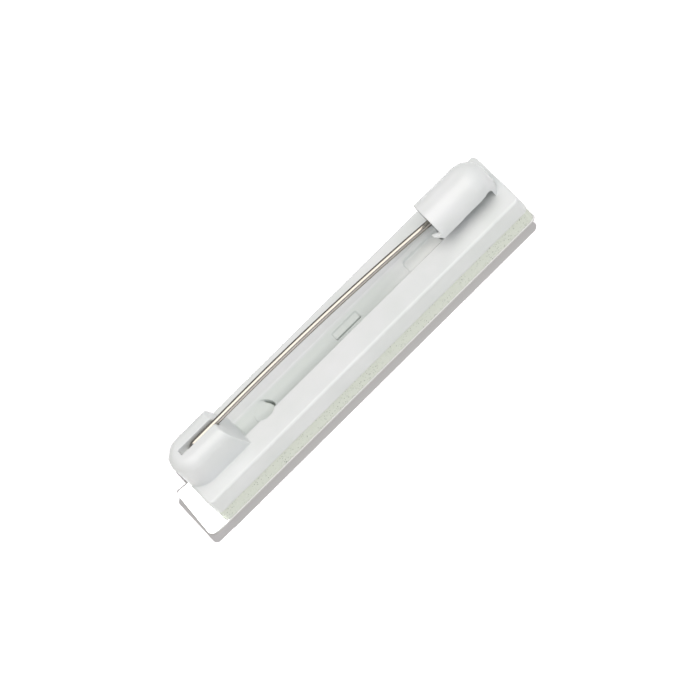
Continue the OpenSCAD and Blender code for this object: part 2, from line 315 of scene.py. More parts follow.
def plated_spring_steel(finish):
    """Drawn spring steel with a nickel plate: a bright line on top, and dark edges from a painted
    reflection tint.
    """
    material, tree, shader, place = new_material(
        "Plated Spring Steel",
        {
            "Base Color": linear(finish.steel),
            "Metallic": 1.0,
            # Painted reflection: the dark edge tint darkens the wire's edges.
            "Specular Tint": linear(finish.steel_painted_edge),
        },
    )
    # Drawing lines run along the wire, so the pattern is stretched along the bar.
    stretch = add_node(
        tree, "ShaderNodeMapping", inputs={"Vector": place, "Scale": (0.04, 1.0, 1.0)}
    )
    lines = add_node(
        tree,
        "ShaderNodeTexNoise",
        inputs={"Vector": stretch.outputs[0], "Scale": per_mm(0.06), "Detail": 2.0},
    )
    polish = add_node(
        tree,
        "ShaderNodeMapRange",
        inputs={"Value": lines.outputs["Fac"], "To Min": 0.1, "To Max": 0.24},
    )
    tree.links.new(polish.outputs["Result"], shader.inputs["Roughness"])
    bump = add_node(
        tree,
        "ShaderNodeBump",
        inputs={"Height": lines.outputs["Fac"], "Strength": 0.12, "Distance": 0.004 * MM},
    )
    tree.links.new(bump.outputs["Normal"], shader.inputs["Normal"])
    return material


def closed_cell_foam(finish, sizes):
    """Slit polyethylene foam: matt, with cut-open cells whose insides are painted dark as shade."""
    material, tree, shader, place = new_material(
        "Closed Cell Foam",
        {
            "Roughness": 0.85,
            "Specular IOR Level": 0.2,
            "Subsurface Weight": 0.25,
            "Subsurface Radius": (1.0, 1.0, 0.9),
            "Subsurface Scale": 0.3 * MM,
        },
    )
    cells = add_node(
        tree,
        "ShaderNodeTexVoronoi",
        inputs={"Vector": place, "Scale": per_mm(sizes.pore * 0.6), "Randomness": 1.0},
    )
    speck = add_node(
        tree,
        "ShaderNodeMapRange",
        SMOOTH,
        {"Value": cells.outputs["Distance"], "From Min": 0.12, "From Max": 0.3},
    )
    patch = add_node(
        tree, "ShaderNodeTexNoise", inputs={"Vector": place, "Scale": per_mm(1.1), "Detail": 2.0}
    )
    open_cells = add_node(
        tree,
        "ShaderNodeMapRange",
        inputs={"Value": patch.outputs["Fac"], "From Min": 0.4, "From Max": 0.62},
    )
    skin = add_node(
        tree,
        "ShaderNodeMath",
        {"operation": "MAXIMUM"},
        {0: speck.outputs["Result"], 1: open_cells.outputs["Result"]},
    )
    # Painted shade: dark specks stand in for the shaded insides of open cells.
    tint = add_node(
        tree,
        "ShaderNodeMix",
        COLOURS,
        {"Factor": skin.outputs[0], "A": linear(finish.foam_pore_shade), "B": linear(finish.foam)},
    )
    tree.links.new(tint.outputs["Result"], shader.inputs["Base Color"])
    bump = add_node(
        tree,
        "ShaderNodeBump",
        inputs={"Height": cells.outputs["Distance"], "Strength": 0.5, "Distance": 0.03 * MM},
    )
    tree.links.new(bump.outputs["Normal"], shader.inputs["Normal"])
    return material


def release_paper(finish):
    """Silicone-coated kraft liner, bleached: smooth and white with a faint fibre."""
    material, tree, shader, place = new_material(
        "Release Paper",
        {"Roughness": 0.5, "Specular IOR Level": 0.35, "Base Color": linear(finish.paper)},
    )
    fibre = add_node(
        tree,
        "ShaderNodeTexNoise",
        inputs={"Vector": place, "Scale": per_mm(0.25), "Detail": 4.0, "Roughness": 0.7},
    )
    bump = add_node(
        tree,
        "ShaderNodeBump",
        inputs={"Height": fibre.outputs["Fac"], "Strength": 0.2, "Distance": 0.01 * MM},
    )
    tree.links.new(bump.outputs["Normal"], shader.inputs["Normal"])
    return material


def studio_floor(finish):
    """Plain matt studio paper."""
    return new_material("Studio Floor", {"Base Color": linear(finish.floor), "Roughness": 0.9})[0]


def link_mesh(name, mesh):
    """A new object that holds the mesh, in the scene."""
    piece = bpy.data.objects.new(name, mesh)
    bpy.context.scene.collection.objects.link(piece)
    return piece


def evaluated(piece):
    """The piece's mesh with its modifiers applied."""
    bpy.context.view_layer.update()
    graph = bpy.context.evaluated_depsgraph_get()
    return bpy.data.meshes.new_from_object(piece.evaluated_get(graph), depsgraph=graph)


def bake(piece):
    """Applies the piece's modifiers and removes them."""
    mesh = evaluated(piece)
    piece.modifiers.clear()
    piece.data = mesh


def closed_mesh(name, shape):
    """Turns a closed shape's faces outwards and makes it an object."""
    bmesh.ops.recalc_face_normals(shape, faces=shape.faces)
    mesh = bpy.data.meshes.new(name)
    shape.to_mesh(mesh)
    shape.free()
    return link_mesh(name, mesh)


def ringed_solid(name, rings):
    """Closed solid through rings of places, with a face over its first and its last ring."""
    shape = bmesh.new()
    loops = [[shape.verts.new(place) for place in ring] for ring in rings]
    for lower, upper in zip(loops, loops[1:]):
        for i in range(len(lower)):
            j = (i + 1) % len(lower)
            shape.faces.new((lower[i], lower[j], upper[j], upper[i]))
    shape.faces.new(list(reversed(loops[0])))
    shape.faces.new(loops[-1])
    return closed_mesh(name, shape)


def finish_piece(piece, material, nodes, body=None, smooth=True):
    """Turns a piece from millimetres to metres and gives it its place in the frame."""
    mesh = piece.data
    mesh.transform(Matrix.Scale(MM, 4))
    mesh.materials.clear()
    mesh.materials.append(material)
    mesh.polygons.foreach_set("use_smooth", [smooth] * len(mesh.polygons))
    if body:
        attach(piece, body)
    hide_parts(*nodes)


def arc(centre, radius, start, end, steps):
    """Points on an arc, its angles in degrees."""
    turns = [math.radians(start + (end - start) * i / steps) for i in range(steps + 1)]
    return [
        (centre[0] + radius * math.cos(t), centre[1] + radius * math.sin(t)) for t in turns
    ]


def disc(centre, radius):
    """A full circle's outline, with a corner for each 6 degrees."""
    return arc(centre, radius, 0, 354, 59)


def round_rect(low, high, radii, steps=14):
    """Rectangle outline, its corner radii in order: low, right, high, left."""
    if not isinstance(radii, (tuple, list)):
        radii = (radii,) * 4
    corners = (
        (low[0] + radii[0], low[1] + radii[0], 180),
        (high[0] - radii[1], low[1] + radii[1], 270),
        (high[0] - radii[2], high[1] - radii[2], 0),
        (low[0] + radii[3], high[1] - radii[3], 90),
    )
    outline = []
    for (x, y, start), radius in zip(corners, radii):
        outline += arc((x, y), radius, start, start + 90, steps) if radius else [(x, y)]
    return outline


AXES = {"X": (1, 2, 0), "Y": (0, 2, 1), "Z": (0, 1, 2)}


def prism(outline, low, high, axis):
    """Closed solid with the outline as its section, run along an axis from low to high."""
    first, second, along = AXES[axis]
    rings = []
    for level in (low, high):
        ring = []
        for a, b in outline:
            place = [0.0, 0.0, 0.0]
            place[first], place[second], place[along] = a, b, level
            ring.append(place)
        rings.append(ring)
    return ringed_solid("prism", rings)


def combined(operation, first, *others):
    """Joins, cuts or intersects solids and removes the ones it used."""
    for other in others:
        step = first.modifiers.new("step", "BOOLEAN")
        step.operation = operation
        step.object = other
        step.solver = "MANIFOLD"
        bake(first)
        bpy.data.objects.remove(other)
    return first


def united(first, *others):
    return combined("UNION", first, *others)


def cut(first, *others):
    return combined("DIFFERENCE", first, *others)


def shared(first, *others):
    return combined("INTERSECT", first, *others)


def ledge_height(sizes):
    """Top of the flat bar, in millimetres."""
    return BAR_LOW.z + sizes.bar_thickness


def groove_radius(sizes):
    """Radius of the trough's hollow floor."""
    half, depth = sizes.trough_width / 2, sizes.trough_depth
    return (half * half + depth * depth) / (2 * depth)


def hood_ends(sizes):
    """Where the hood's mouth and its closed end lie along the bar."""
    closed_end = BAR_HIGH.x - sizes.hood_inset
    return closed_end - sizes.hood_length, closed_end


def flat_bar(sizes):
    """The flat bar with its rounded upper edges and its shallow trough."""
    low, high, top = BAR_LOW, BAR_HIGH, ledge_height(sizes)
    edge = (0, 0, sizes.bar_edge, sizes.bar_edge)
    bar = shared(
        prism(round_rect(low.xy, high.xy, sizes.bar_corner), low.z, top, "Z"),
        prism(round_rect((low.y, low.z), (high.y, top), edge), low.x - OVER, high.x + OVER, "X"),
        prism(round_rect((low.x, low.z), (high.x, top), edge), low.y - OVER, high.y + OVER, "Y"),
    )
    groove = groove_radius(sizes)
    past_edge = 1.3
    spread = math.degrees(math.asin(sizes.trough_width / 2 / groove)) * past_edge
    centre = (sizes.trough_place, top - sizes.trough_depth + groove)
    outline = arc(centre, groove, 270 - spread, 270 + spread, 40)
    start = low.x + sizes.knuckle_length - OVER
    end = hood_ends(sizes)[1] - sizes.slit_short
    return cut(bar, prism(outline, start, end, "X"))


def recess_centre(sizes):
    """Middle of the round recess from above."""
    return BAR_LOW.x + sizes.knuckle_length + sizes.recess_out, -sizes.recess_near


def knuckle_recess(sizes):
    """Round recess beside the knuckle, its hollow floor sloping down towards the hood."""
    x, y = recess_centre(sizes)
    top = ledge_height(sizes)
    groove = groove_radius(sizes)
    floor = top - sizes.trough_depth - (sizes.recess_depth + sizes.recess_rim) / 2
    slope = math.atan((sizes.recess_depth - sizes.recess_rim) / sizes.recess)
    hollow = prism(arc((0, groove), groove, 190, 350, 48), -sizes.recess, sizes.recess, "X")
    hollow.data.transform(Matrix.Translation((x, y, floor)) @ Matrix.Rotation(slope, 4, "Y"))
    return shared(prism(disc((x, y), sizes.recess / 2), BAR_LOW.z, top + OVER, "Z"), hollow)


def recess_crescent(sizes):
    """Deep crescent cut at the recess's end towards the hood."""
    x, y = recess_centre(sizes)
    radius, top = sizes.recess / 2, ledge_height(sizes)
    floor = top - sizes.trough_depth - sizes.crescent_depth
    return cut(
        prism(disc((x, y), radius), floor, top + OVER, "Z"),
        prism(disc((x - sizes.crescent_width, y), radius), floor - OVER, top + 2 * OVER, "Z"),
    )


def middle_pocket(sizes):
    """Middle pocket, its floor sloping down to a narrow slot along its near side."""
    top = ledge_height(sizes)
    floor = top - sizes.trough_depth
    near_share = 1 / 3  # of its width that lies on the near side of the trough's middle
    near = sizes.trough_place - sizes.pocket_width * near_share
    slot, far = near + sizes.pocket_slot_width, near + sizes.pocket_width
    outline = [
        (near, floor - sizes.pocket_slot_depth),
        (slot, floor - sizes.pocket_slot_depth),
        (slot, floor - sizes.pocket_depth),
        (far, floor),
        (far, top + OVER),
        (near, top + OVER),
    ]
    half = sizes.pocket_length / 2
    return prism(outline, sizes.pocket_place - half, sizes.pocket_place + half, "X")


def hood_slot(sizes):
    """Slot through the bar under the hood, with round ends."""
    half, y = sizes.slot_width / 2, sizes.trough_place
    mouth, closed_end = hood_ends(sizes)
    start, end = mouth - sizes.slot_out, closed_end - sizes.slit_short
    # Just short of half-round, so that no two corners meet.
    outline = round_rect((start, y - half), (end, y + half), 0.98 * half)
    return prism(outline, BAR_LOW.z - OVER, ledge_height(sizes) + OVER, "Z")


def hood_step(sizes):
    """Shallow recess in front of the hood's slot."""
    half, y = sizes.slot_width / 2, sizes.trough_place
    mouth = hood_ends(sizes)[0]
    outline = round_rect((mouth - sizes.step_length, y - half), (mouth, y + half), half / 2)
    top = ledge_height(sizes)
    return prism(outline, top - sizes.trough_depth - sizes.step_depth, top + OVER, "Z")


def thimble(open_x, closed_x, half, low, high, radius, steps=12):
    """Closed solid between two heights, half-round from above at its closed end.

    Its upper edges follow that outline and are rounded with the radius.
    """
    side = 1 if closed_x > open_x else -1
    centre = closed_x - side * half
    rings = []
    insets = [(0.0, low)]
    for i in range(steps + 1):
        turn = math.radians(90 * i / steps)
        insets.append((radius * (1 - math.cos(turn)), high - radius + radius * math.sin(turn)))
    for inset, z in insets:
        outline = [(open_x, inset - half)]
        for x, y in arc((0, 0), half - inset, -90, 90, 36):
            outline.append((centre + side * x, y))
        outline.append((open_x, half - inset))
        rings.append([(x, y, z) for x, y in outline])
    return ringed_solid("thimble", rings)


def knuckle(sizes):
    """The block that holds the wire's root, half-round at its closed end."""
    top, half = ledge_height(sizes), sizes.knuckle_width / 2
    foot, crest = top - ROOT, top + sizes.knuckle_height
    start, end = BAR_LOW.x, BAR_LOW.x + sizes.knuckle_length
    slope = sizes.knuckle_lean / sizes.knuckle_height
    foot_x = end + slope * (top - foot)
    corner = 0.3
    lean = [(start - OVER, foot - OVER), (foot_x + slope * OVER, foot - OVER)]
    lean += arc((end - sizes.knuckle_lean - corner, crest - corner), corner, 16, 90, 8)
    lean += [(start - OVER, crest)]
    return shared(
        thimble(foot_x + OVER, start, half, foot, crest, sizes.knuckle_top),
        prism(lean, -half - OVER, half + OVER, "Y"),
    )


def coil_place(sizes):
    """Centre of the coil in side view."""
    return BAR_LOW.x + sizes.knuckle_length / 2 - sizes.coil_back, PIVOT.z - sizes.coil / 2


def coil_slot(sizes):
    """The slot under and round the coil, open above, towards the hood and a little behind."""
    x, z = coil_place(sizes)
    gap = 0.06
    radius, crest = (sizes.coil + sizes.wire) / 2 + gap, BAR_HIGH.z + OVER
    floor = PIVOT.z - sizes.wire / 2 - gap
    end = BAR_LOW.x + sizes.knuckle_length + OVER
    rise = math.degrees(math.asin((floor - z) / radius))
    back = x - radius - sizes.coil_slot_back
    outline = [(back, crest), (back, floor)] + arc((x, z), radius, 180 - rise, 360 + rise, 28)
    outline += [(end, floor), (end, crest)]
    half = sizes.coil_slot_width / 2
    return prism(outline, -half, half, "Y")


def hood(sizes):
    """The hood's outer form, half-round at its closed end."""
    foot = ledge_height(sizes) - ROOT
    mouth, closed_end = hood_ends(sizes)
    return thimble(mouth, closed_end, sizes.hood_width / 2, foot, BAR_HIGH.z, sizes.hood_top)


def hood_hollow(sizes):
    """The hood's hollow, open at its mouth and with the same wall all round."""
    wall, half = sizes.hood_wall, sizes.hood_width / 2
    mouth, closed_end = hood_ends(sizes)
    low, high, radius = ledge_height(sizes), BAR_HIGH.z - wall, sizes.hood_top - wall
    return thimble(mouth - OVER, closed_end - wall, half - wall, low, high, radius)


def hood_slit(sizes):
    """The slit along the hood's near side, with a round closed end."""
    top = ledge_height(sizes)
    mouth, closed_end = hood_ends(sizes)
    start, end = mouth - OVER, closed_end - sizes.slit_short
    rise = sizes.slit_height + sizes.slit_rise
    corner = 0.5
    outline = [(start, top), (end, top)]
    outline += arc((end - corner, top + rise - corner), corner, 0, 88, 10)
    outline += [(start, top + sizes.slit_height)]
    return prism(outline, -sizes.hood_width / 2 - OVER, 0, "Y")


def guide_lip(sizes):
    """The lip at the mouth's near corner, a claw that points out and up."""
    bottom = ledge_height(sizes) + sizes.slit_height
    mouth = hood_ends(sizes)[0]
    tip, tip_thickness, rise = mouth - sizes.lip_reach, 0.14, 0.01
    outline = [
        (mouth + OVER, bottom + rise),
        (mouth, bottom),
        (tip, bottom + sizes.lip_height - tip_thickness),
        (tip, bottom + sizes.lip_height),
        (mouth, bottom + sizes.lip_root),
        (mouth + OVER, bottom + sizes.lip_root),
    ]
    near = -sizes.hood_width / 2
    return prism(outline, near, near + sizes.hood_wall, "Y")


class BARPIN_OT_moulded_bar(bpy.types.Operator):
    """Builds the moulded bar with its knuckle and its hood"""

    bl_idname = "barpin.moulded_bar"
    bl_label = "Moulded Bar"

    voxel: bpy.props.FloatProperty(
        name="Voxel", description="Size of the mesh's cells in millimetres", default=0.05
    )

    def execute(self, context):
        sizes, finish = context.scene.bar_pin_sizes, context.scene.bar_pin_finish
        bar = united(flat_bar(sizes), knuckle(sizes), hood(sizes))
        cut(
            bar,
            coil_slot(sizes),
            hood_hollow(sizes),
            hood_slit(sizes),
            knuckle_recess(sizes),
            recess_crescent(sizes),
            middle_pocket(sizes),
            hood_slot(sizes),
            hood_step(sizes),
        )
        united(bar, guide_lip(sizes))
        bar.name = "moulded_bar"
        remesh = bar.modifiers.new("Even Cells", "REMESH")
        remesh.mode = "VOXEL"
        remesh.voxel_size = self.voxel
        soften = bar.modifiers.new("Moulded Edges", "SMOOTH")
        soften.factor = 0.5
        soften.iterations = 3
        thin = bar.modifiers.new("Fewer Faces", "DECIMATE")
        thin.ratio = 0.26
        bake(bar)
        finish_piece(bar, moulded_polystyrene(finish, sizes), ["base"], "bar")
        return {"FINISHED"}


def stem_path(sizes, steps=48):
    """Points of the bowed stem from its root to its point, in millimetres."""
    side_gap, low_gap, tip = 0.12, 0.08, 0.04
    x = hood_ends(sizes)[0] + sizes.point_reach
    y = sizes.hood_width / 2 - sizes.hood_wall - side_gap - sizes.wire / 2
    end = Vector((x, y, ledge_height(sizes) + low_gap + tip))
    chord = end - PIVOT
    run = chord.normalized()
    up = run.cross(Vector((-run.y, run.x, 0))).normalized()
    radius = (chord.length**2 / 4 + sizes.bow**2) / (2 * sizes.bow)
    half = math.asin(chord.length / 2 / radius)
    middle = PIVOT + chord / 2
    points = []
    for i in range(steps + 1):
        turn = -half + 2 * half * i / steps
        rise = radius * math.cos(turn) - radius + sizes.bow
        points.append(middle + run * radius * math.sin(turn) + up * rise)
    return points


def coil_path(sizes, turns=0.72, steps_per_turn=40):
    """Points of the coil from its tail to its top, in millimetres."""
    x, z = coil_place(sizes)
    radius, start = sizes.coil / 2, -sizes.strand_pitch * turns / 2
    points = []
    for i in range(round(turns * steps_per_turn), -1, -1):
        turn = 2 * math.pi * i / steps_per_turn
        y = start + sizes.strand_pitch * i / steps_per_turn
        points.append(Vector((x - radius * math.sin(turn), y, z + radius * math.cos(turn))))
    return points


def lead_path(coil_top, steps=8):
    """Points between the coil's top and the stem's root, which ease over to the middle."""
    points = []
    for i in range(1, steps):
        share = i / steps
        ease = share * share * (3 - 2 * share)
        x = coil_top.x + (PIVOT.x - coil_top.x) * share
        points.append(Vector((x, coil_top.y * (1 - ease), PIVOT.z)))
    return points


def new_tree(name, sizes):
    """An empty Geometry Nodes tree and its inputs, from the names and kinds of its sizes."""
    tree = bpy.data.node_groups.new(name, "GeometryNodeTree")
    face = tree.interface
    for title, kind in {"Geometry": "Geometry", **sizes, "Material": "Material"}.items():
        face.new_socket(title, in_out="INPUT", socket_type="NodeSocket" + kind)
    face.new_socket("Geometry", in_out="OUTPUT", socket_type="NodeSocketGeometry")
    return tree, add_node(tree, "NodeGroupInput").outputs


def end_tree(tree, given, geometry):
    """Makes the tree's result real, gives it its material and puts it out."""
    real = add_node(tree, "GeometryNodeRealizeInstances", inputs={"Geometry": geometry})
    painted = add_node(
        tree,
        "GeometryNodeSetMaterial",
        inputs={"Geometry": real.outputs[0], "Material": given["Material"]},
    )
    add_node(tree, "NodeGroupOutput", inputs={"Geometry": painted.outputs[0]})


def wire_tree():
    """Geometry Nodes that sweep a round wire along a curve with its own radii."""
    tree, given = new_tree("Wire Sweep", {"Diameter": "Float", "Sides": "Int"})
    radius = add_node(tree, "ShaderNodeMath", MULTIPLY, {0: given["Diameter"], 1: 0.5})
    section = add_node(
        tree,
        "GeometryNodeCurvePrimitiveCircle",
        inputs={"Resolution": given["Sides"], "Radius": radius.outputs[0]},
    )
    sweep = add_node(
        tree,
        "GeometryNodeCurveToMesh",
        inputs={
            "Curve": given["Geometry"],
            "Profile Curve": section.outputs[0],
            "Scale": add_node(tree, "GeometryNodeInputRadius").outputs[0],
            "Fill Caps": True,
        },
    )
    end_tree(tree, given, sweep.outputs[0])
    return tree


def run_tree(piece, tree, values):
    """Gives the piece the tree as a modifier, its inputs set by their identifiers."""
    modifier = piece.modifiers.new(tree.name, "NODES")
    modifier.node_group = tree
    for item in tree.interface.items_tree:
        if item.in_out == "INPUT" and item.name in values:
            modifier[item.identifier] = values[item.name]


class BARPIN_OT_wire_pin(bpy.types.Operator):
    """Builds the steel wire: its coil in the knuckle and its bowed, pointed stem"""

    bl_idname = "barpin.wire_pin"
    bl_label = "Wire Pin"

    def execute(self, context):
        sizes, finish = context.scene.bar_pin_sizes, context.scene.bar_pin_finish
        coil = coil_path(sizes)
        path = coil + lead_path(coil[-1]) + stem_path(sizes)
        curve = bpy.data.curves.new("wire_path", "CURVE")
        curve.dimensions = "3D"
        spline = curve.splines.new("POLY")
        spline.points.add(len(path) - 1)
        tip_share = 0.1
        for point, place in zip(spline.points, path):
            share = min(1.0, (path[-1] - place).length / sizes.point)
            point.co = (*place, 1)
            point.radius = tip_share + (1 - tip_share) * share
        wire = bpy.data.objects.new("wire_pin", curve)
        context.scene.collection.objects.link(wire)
        steel = plated_spring_steel(finish)
        run_tree(wire, wire_tree(), {"Diameter": sizes.wire, "Sides": 24, "Material": steel})
        mesh = evaluated(wire)
        bpy.data.objects.remove(wire)
        wire = link_mesh("wire_pin", mesh)
        finish_piece(wire, steel, ["pin_coil", "pin_stem"])
        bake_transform(wire)
        return {"FINISHED"}


def pore_tree():
    """Geometry Nodes that press open cells into the foam's cut sides."""
    tree, given = new_tree("Foam Pores", {"Pore Spacing": "Float", "Pore Depth": "Float"})
    scale = add_node(
        tree, "ShaderNodeMath", {"operation": "DIVIDE"}, {0: 1.0, 1: given["Pore Spacing"]}
    )
    place = add_node(tree, "GeometryNodeInputPosition")
    cells = add_node(
        tree,
        "ShaderNodeTexVoronoi",
        inputs={"Vector": place.outputs[0], "Scale": scale.outputs[0], "Randomness": 1.0},
    )
    cup = add_node(
        tree,
        "ShaderNodeMapRange",
        SMOOTH,
        {
            "Value": cells.outputs["Distance"],
            "From Min": 0.1,
            "From Max": 0.34,
            "To Min": -1.0,
            "To Max": 0.0,
        },
    )
    deep = {0: cup.outputs["Result"], 1: given["Pore Depth"]}
    depth = add_node(tree, "ShaderNodeMath", MULTIPLY, deep)
    outward = add_node(tree, "GeometryNodeInputNormal")
    sideways = {0: outward.outputs[0], 1: (1, 1, 0)}
    level = add_node(tree, "ShaderNodeVectorMath", MULTIPLY, sideways)
    move = add_node(
        tree,
        "ShaderNodeVectorMath",
        {"operation": "SCALE"},
        {0: level.outputs[0], "Scale": depth.outputs[0]},
    )
    pressed = add_node(
        tree,
        "GeometryNodeSetPosition",
        inputs={"Geometry": given["Geometry"], "Offset": move.outputs[0]},
    )
    end_tree(tree, given, pressed.outputs[0])
    return tree


def even_steps(outline, spacing):
    """The closed outline cut into even steps of about the given spacing."""
    ends = outline[1:] + outline[:1]
    points = []
    for a, b in zip(outline, ends):
        run = math.dist(a, b)
        count = max(1, round(run / spacing))
        points += [
            (a[0] + (b[0] - a[0]) * i / count, a[1] + (b[1] - a[1]) * i / count)
            for i in range(count)
        ]
    return points


class BARPIN_OT_foam_pad(bpy.types.Operator):
    """Builds the adhesive foam pad with open cells along its cut sides"""

    bl_idname = "barpin.foam_pad"
    bl_label = "Foam Pad"

    spacing: bpy.props.FloatProperty(
        name="Spacing", description="Mesh spacing on the cut sides in millimetres", default=0.055
    )

    def execute(self, context):
        sizes, finish = context.scene.bar_pin_sizes, context.scene.bar_pin_finish
        edge = round_rect(FOAM_LOW.xy, FOAM_HIGH.xy, sizes.bar_corner, steps=8)
        outline = even_steps(edge, self.spacing)
        height = FOAM_HIGH.z - FOAM_LOW.z
        rows = round(height / self.spacing)
        pull_in = 0.03
        rings = []
        for row in range(rows + 1):
            share = row / rows
            # The cut sides pull in a little between the bar and the liner.
            waist = pull_in * math.sin(math.pi * share)
            z = FOAM_LOW.z + height * share
            rings.append(
                [(x - math.copysign(waist, x), y - math.copysign(waist, y), z) for x, y in outline]
            )
        pad = ringed_solid("adhesive_foam", rings)
        foam = closed_cell_foam(finish, sizes)
        pores = {"Pore Spacing": sizes.pore, "Pore Depth": sizes.pore_depth, "Material": foam}
        run_tree(pad, pore_tree(), pores)
        bake(pad)
        finish_piece(pad, foam, ["foam_pad"], "bar")
        return {"FINISHED"}


def corner_inset(distance, radius):
    """How far a round corner's edge lies in, at a distance from the corner's end."""
    if distance >= radius:
        return 0.0
    return radius - math.sqrt(max(0.0, radius * radius - (radius - distance) ** 2))


def liner_places(sizes):
    """Places along the liner, close together where its edges are round."""
    tab_end, bar_end, far_end = LINER_LOW.x, BAR_LOW.x, LINER_HIGH.x
    fine, middle, coarse, margin = 0.03, 0.125, 0.5, 0.1
    places = []
    x = tab_end
    while x < far_end - 1e-6:
        places.append(x)
        corner = (
            x < tab_end + sizes.tab_corner + sizes.tab_skew
            or bar_end - margin < x < bar_end + sizes.liner_corner
            or x > far_end - sizes.liner_corner - coarse
        )
        x += fine if corner else middle if x < bar_end else coarse
    return places + [far_end]


def liner_edges(sizes, x):
    """Where the liner's near and far edges lie at a place along it."""
    tab_end, bar_end = LINER_LOW.x, BAR_LOW.x
    near, far = LINER_LOW.y, LINER_HIGH.y
    tab_far = far - sizes.tab_inset
    low = near + corner_inset(x - tab_end, sizes.tab_corner)
    skew_end = tab_end + sizes.tab_skew
    if x < skew_end:
        # The skewed end edge runs from the near corner to the far one.
        first, last = near + sizes.tab_corner, tab_far - sizes.tab_corner
        slimmest = 0.01
        high = max(first + (x - tab_end) / sizes.tab_skew * (last - first), low + slimmest)
    elif x < bar_end:
        high = tab_far - corner_inset(x - skew_end, sizes.tab_corner)
    else:
        high = max(far - corner_inset(x - bar_end, sizes.liner_corner), tab_far)
    end_inset = corner_inset(LINER_HIGH.x - x, sizes.liner_corner)
    return low + end_inset, high - end_inset


class BARPIN_OT_release_liner(bpy.types.Operator):
    """Builds the paper liner with its peel tab"""

    bl_idname = "barpin.release_liner"
    bl_label = "Release Liner"

    def execute(self, context):
        sizes, finish = context.scene.bar_pin_sizes, context.scene.bar_pin_finish
        cells = 6
        shape = bmesh.new()
        rows = []
        for x in liner_places(sizes):
            low, high = liner_edges(sizes, x)
            past = max(0.0, BAR_LOW.x - x) / (BAR_LOW.x - LINER_LOW.x)
            lift = sizes.tab_curl * past * past
            across = [low + (high - low) * k / cells for k in range(cells + 1)]
            levels = (LINER_LOW.z + lift, LINER_HIGH.z + lift)
            rows.append([[shape.verts.new((x, y, z)) for y in across] for z in levels])
        for (lower_a, upper_a), (lower_b, upper_b) in zip(rows, rows[1:]):
            for k in range(cells):
                shape.faces.new((lower_a[k], lower_a[k + 1], lower_b[k + 1], lower_b[k]))
                shape.faces.new((upper_a[k], upper_b[k], upper_b[k + 1], upper_a[k + 1]))
            shape.faces.new((lower_a[0], lower_b[0], upper_b[0], upper_a[0]))
            shape.faces.new((lower_a[cells], upper_a[cells], upper_b[cells], lower_b[cells]))
        for lower, upper in (rows[0], rows[-1]):
            for k in range(cells):
                shape.faces.new((lower[k], upper[k], upper[k + 1], lower[k + 1]))
        liner = closed_mesh("paper_liner", shape)
        paper = release_paper(finish)
        finish_piece(liner, paper, ["release_liner"], "bar", smooth=False)
        bpy.data.collections[LIT_BY_FLOOR_LIGHT].objects.link(liner)
        return {"FINISHED"}


def flat_sheet(name, outline, height, material):
    """A flat sheet with the outline in millimetres, part of the stage."""
    mesh = bpy.data.meshes.new(name)
    mesh.from_pydata([(x, y, height) for x, y in outline], [], [range(len(outline))])
    mesh.transform(Matrix.Scale(MM, 4))
    mesh.materials.append(material)
    sheet = link_mesh(name, mesh)
    return sheet


def direction(azimuth, elevation):
    """Unit vector to a place seen from the part: azimuth 0 is -Y, 90 is +X."""
    turn, rise = math.radians(azimuth), math.radians(elevation)
    return Vector(
        (math.cos(rise) * math.sin(turn), -math.cos(rise) * math.cos(turn), math.sin(rise))
    )


def softbox(name, azimuth, elevation, distance, size, energy, tint):
    """A soft light that faces the part, its distance, width and height in millimetres."""
    light = bpy.data.lights.new(name, "AREA")
    light.shape = "RECTANGLE"
    light.size, light.size_y = (side * MM for side in size)
    light.energy = energy
    light.color = linear(tint)[:3]
    lamp = bpy.data.objects.new(name, light)
    towards = direction(azimuth, elevation)
    lamp.location = towards * distance * MM
    lamp.rotation_euler = towards.to_track_quat("Z", "Y").to_euler()
    bpy.context.scene.collection.objects.link(lamp)


def studio_world(ground, back, front, strength):
    """A tent of soft light, brighter in front and to the right than at the back."""
    world = bpy.data.worlds.new("Studio")
    world.use_nodes = True
    tree = world.node_tree
    sky = tree.nodes["Background"]
    sky.inputs["Strength"].default_value = strength
    place = add_node(tree, "ShaderNodeTexCoord").outputs["Generated"]
    tint = linear(ground)
    bands = ((back, (0, 0, 1), -0.05, 0.05), (front, direction(28, 52), -0.1, 0.9))
    for colour_above, axis, low, high in bands:
        height = add_node(
            tree, "ShaderNodeVectorMath", {"operation": "DOT_PRODUCT"}, {0: place, 1: axis}
        )
        rise = add_node(
            tree,
            "ShaderNodeMapRange",
            SMOOTH,
            {"Value": height.outputs["Value"], "From Min": low, "From Max": high},
        )
        tint = add_node(
            tree,
            "ShaderNodeMix",
            COLOURS,
            {"Factor": rise.outputs["Result"], "A": tint, "B": linear(colour_above)},
        ).outputs["Result"]
    tree.links.new(tint, sky.inputs["Color"])
    return world


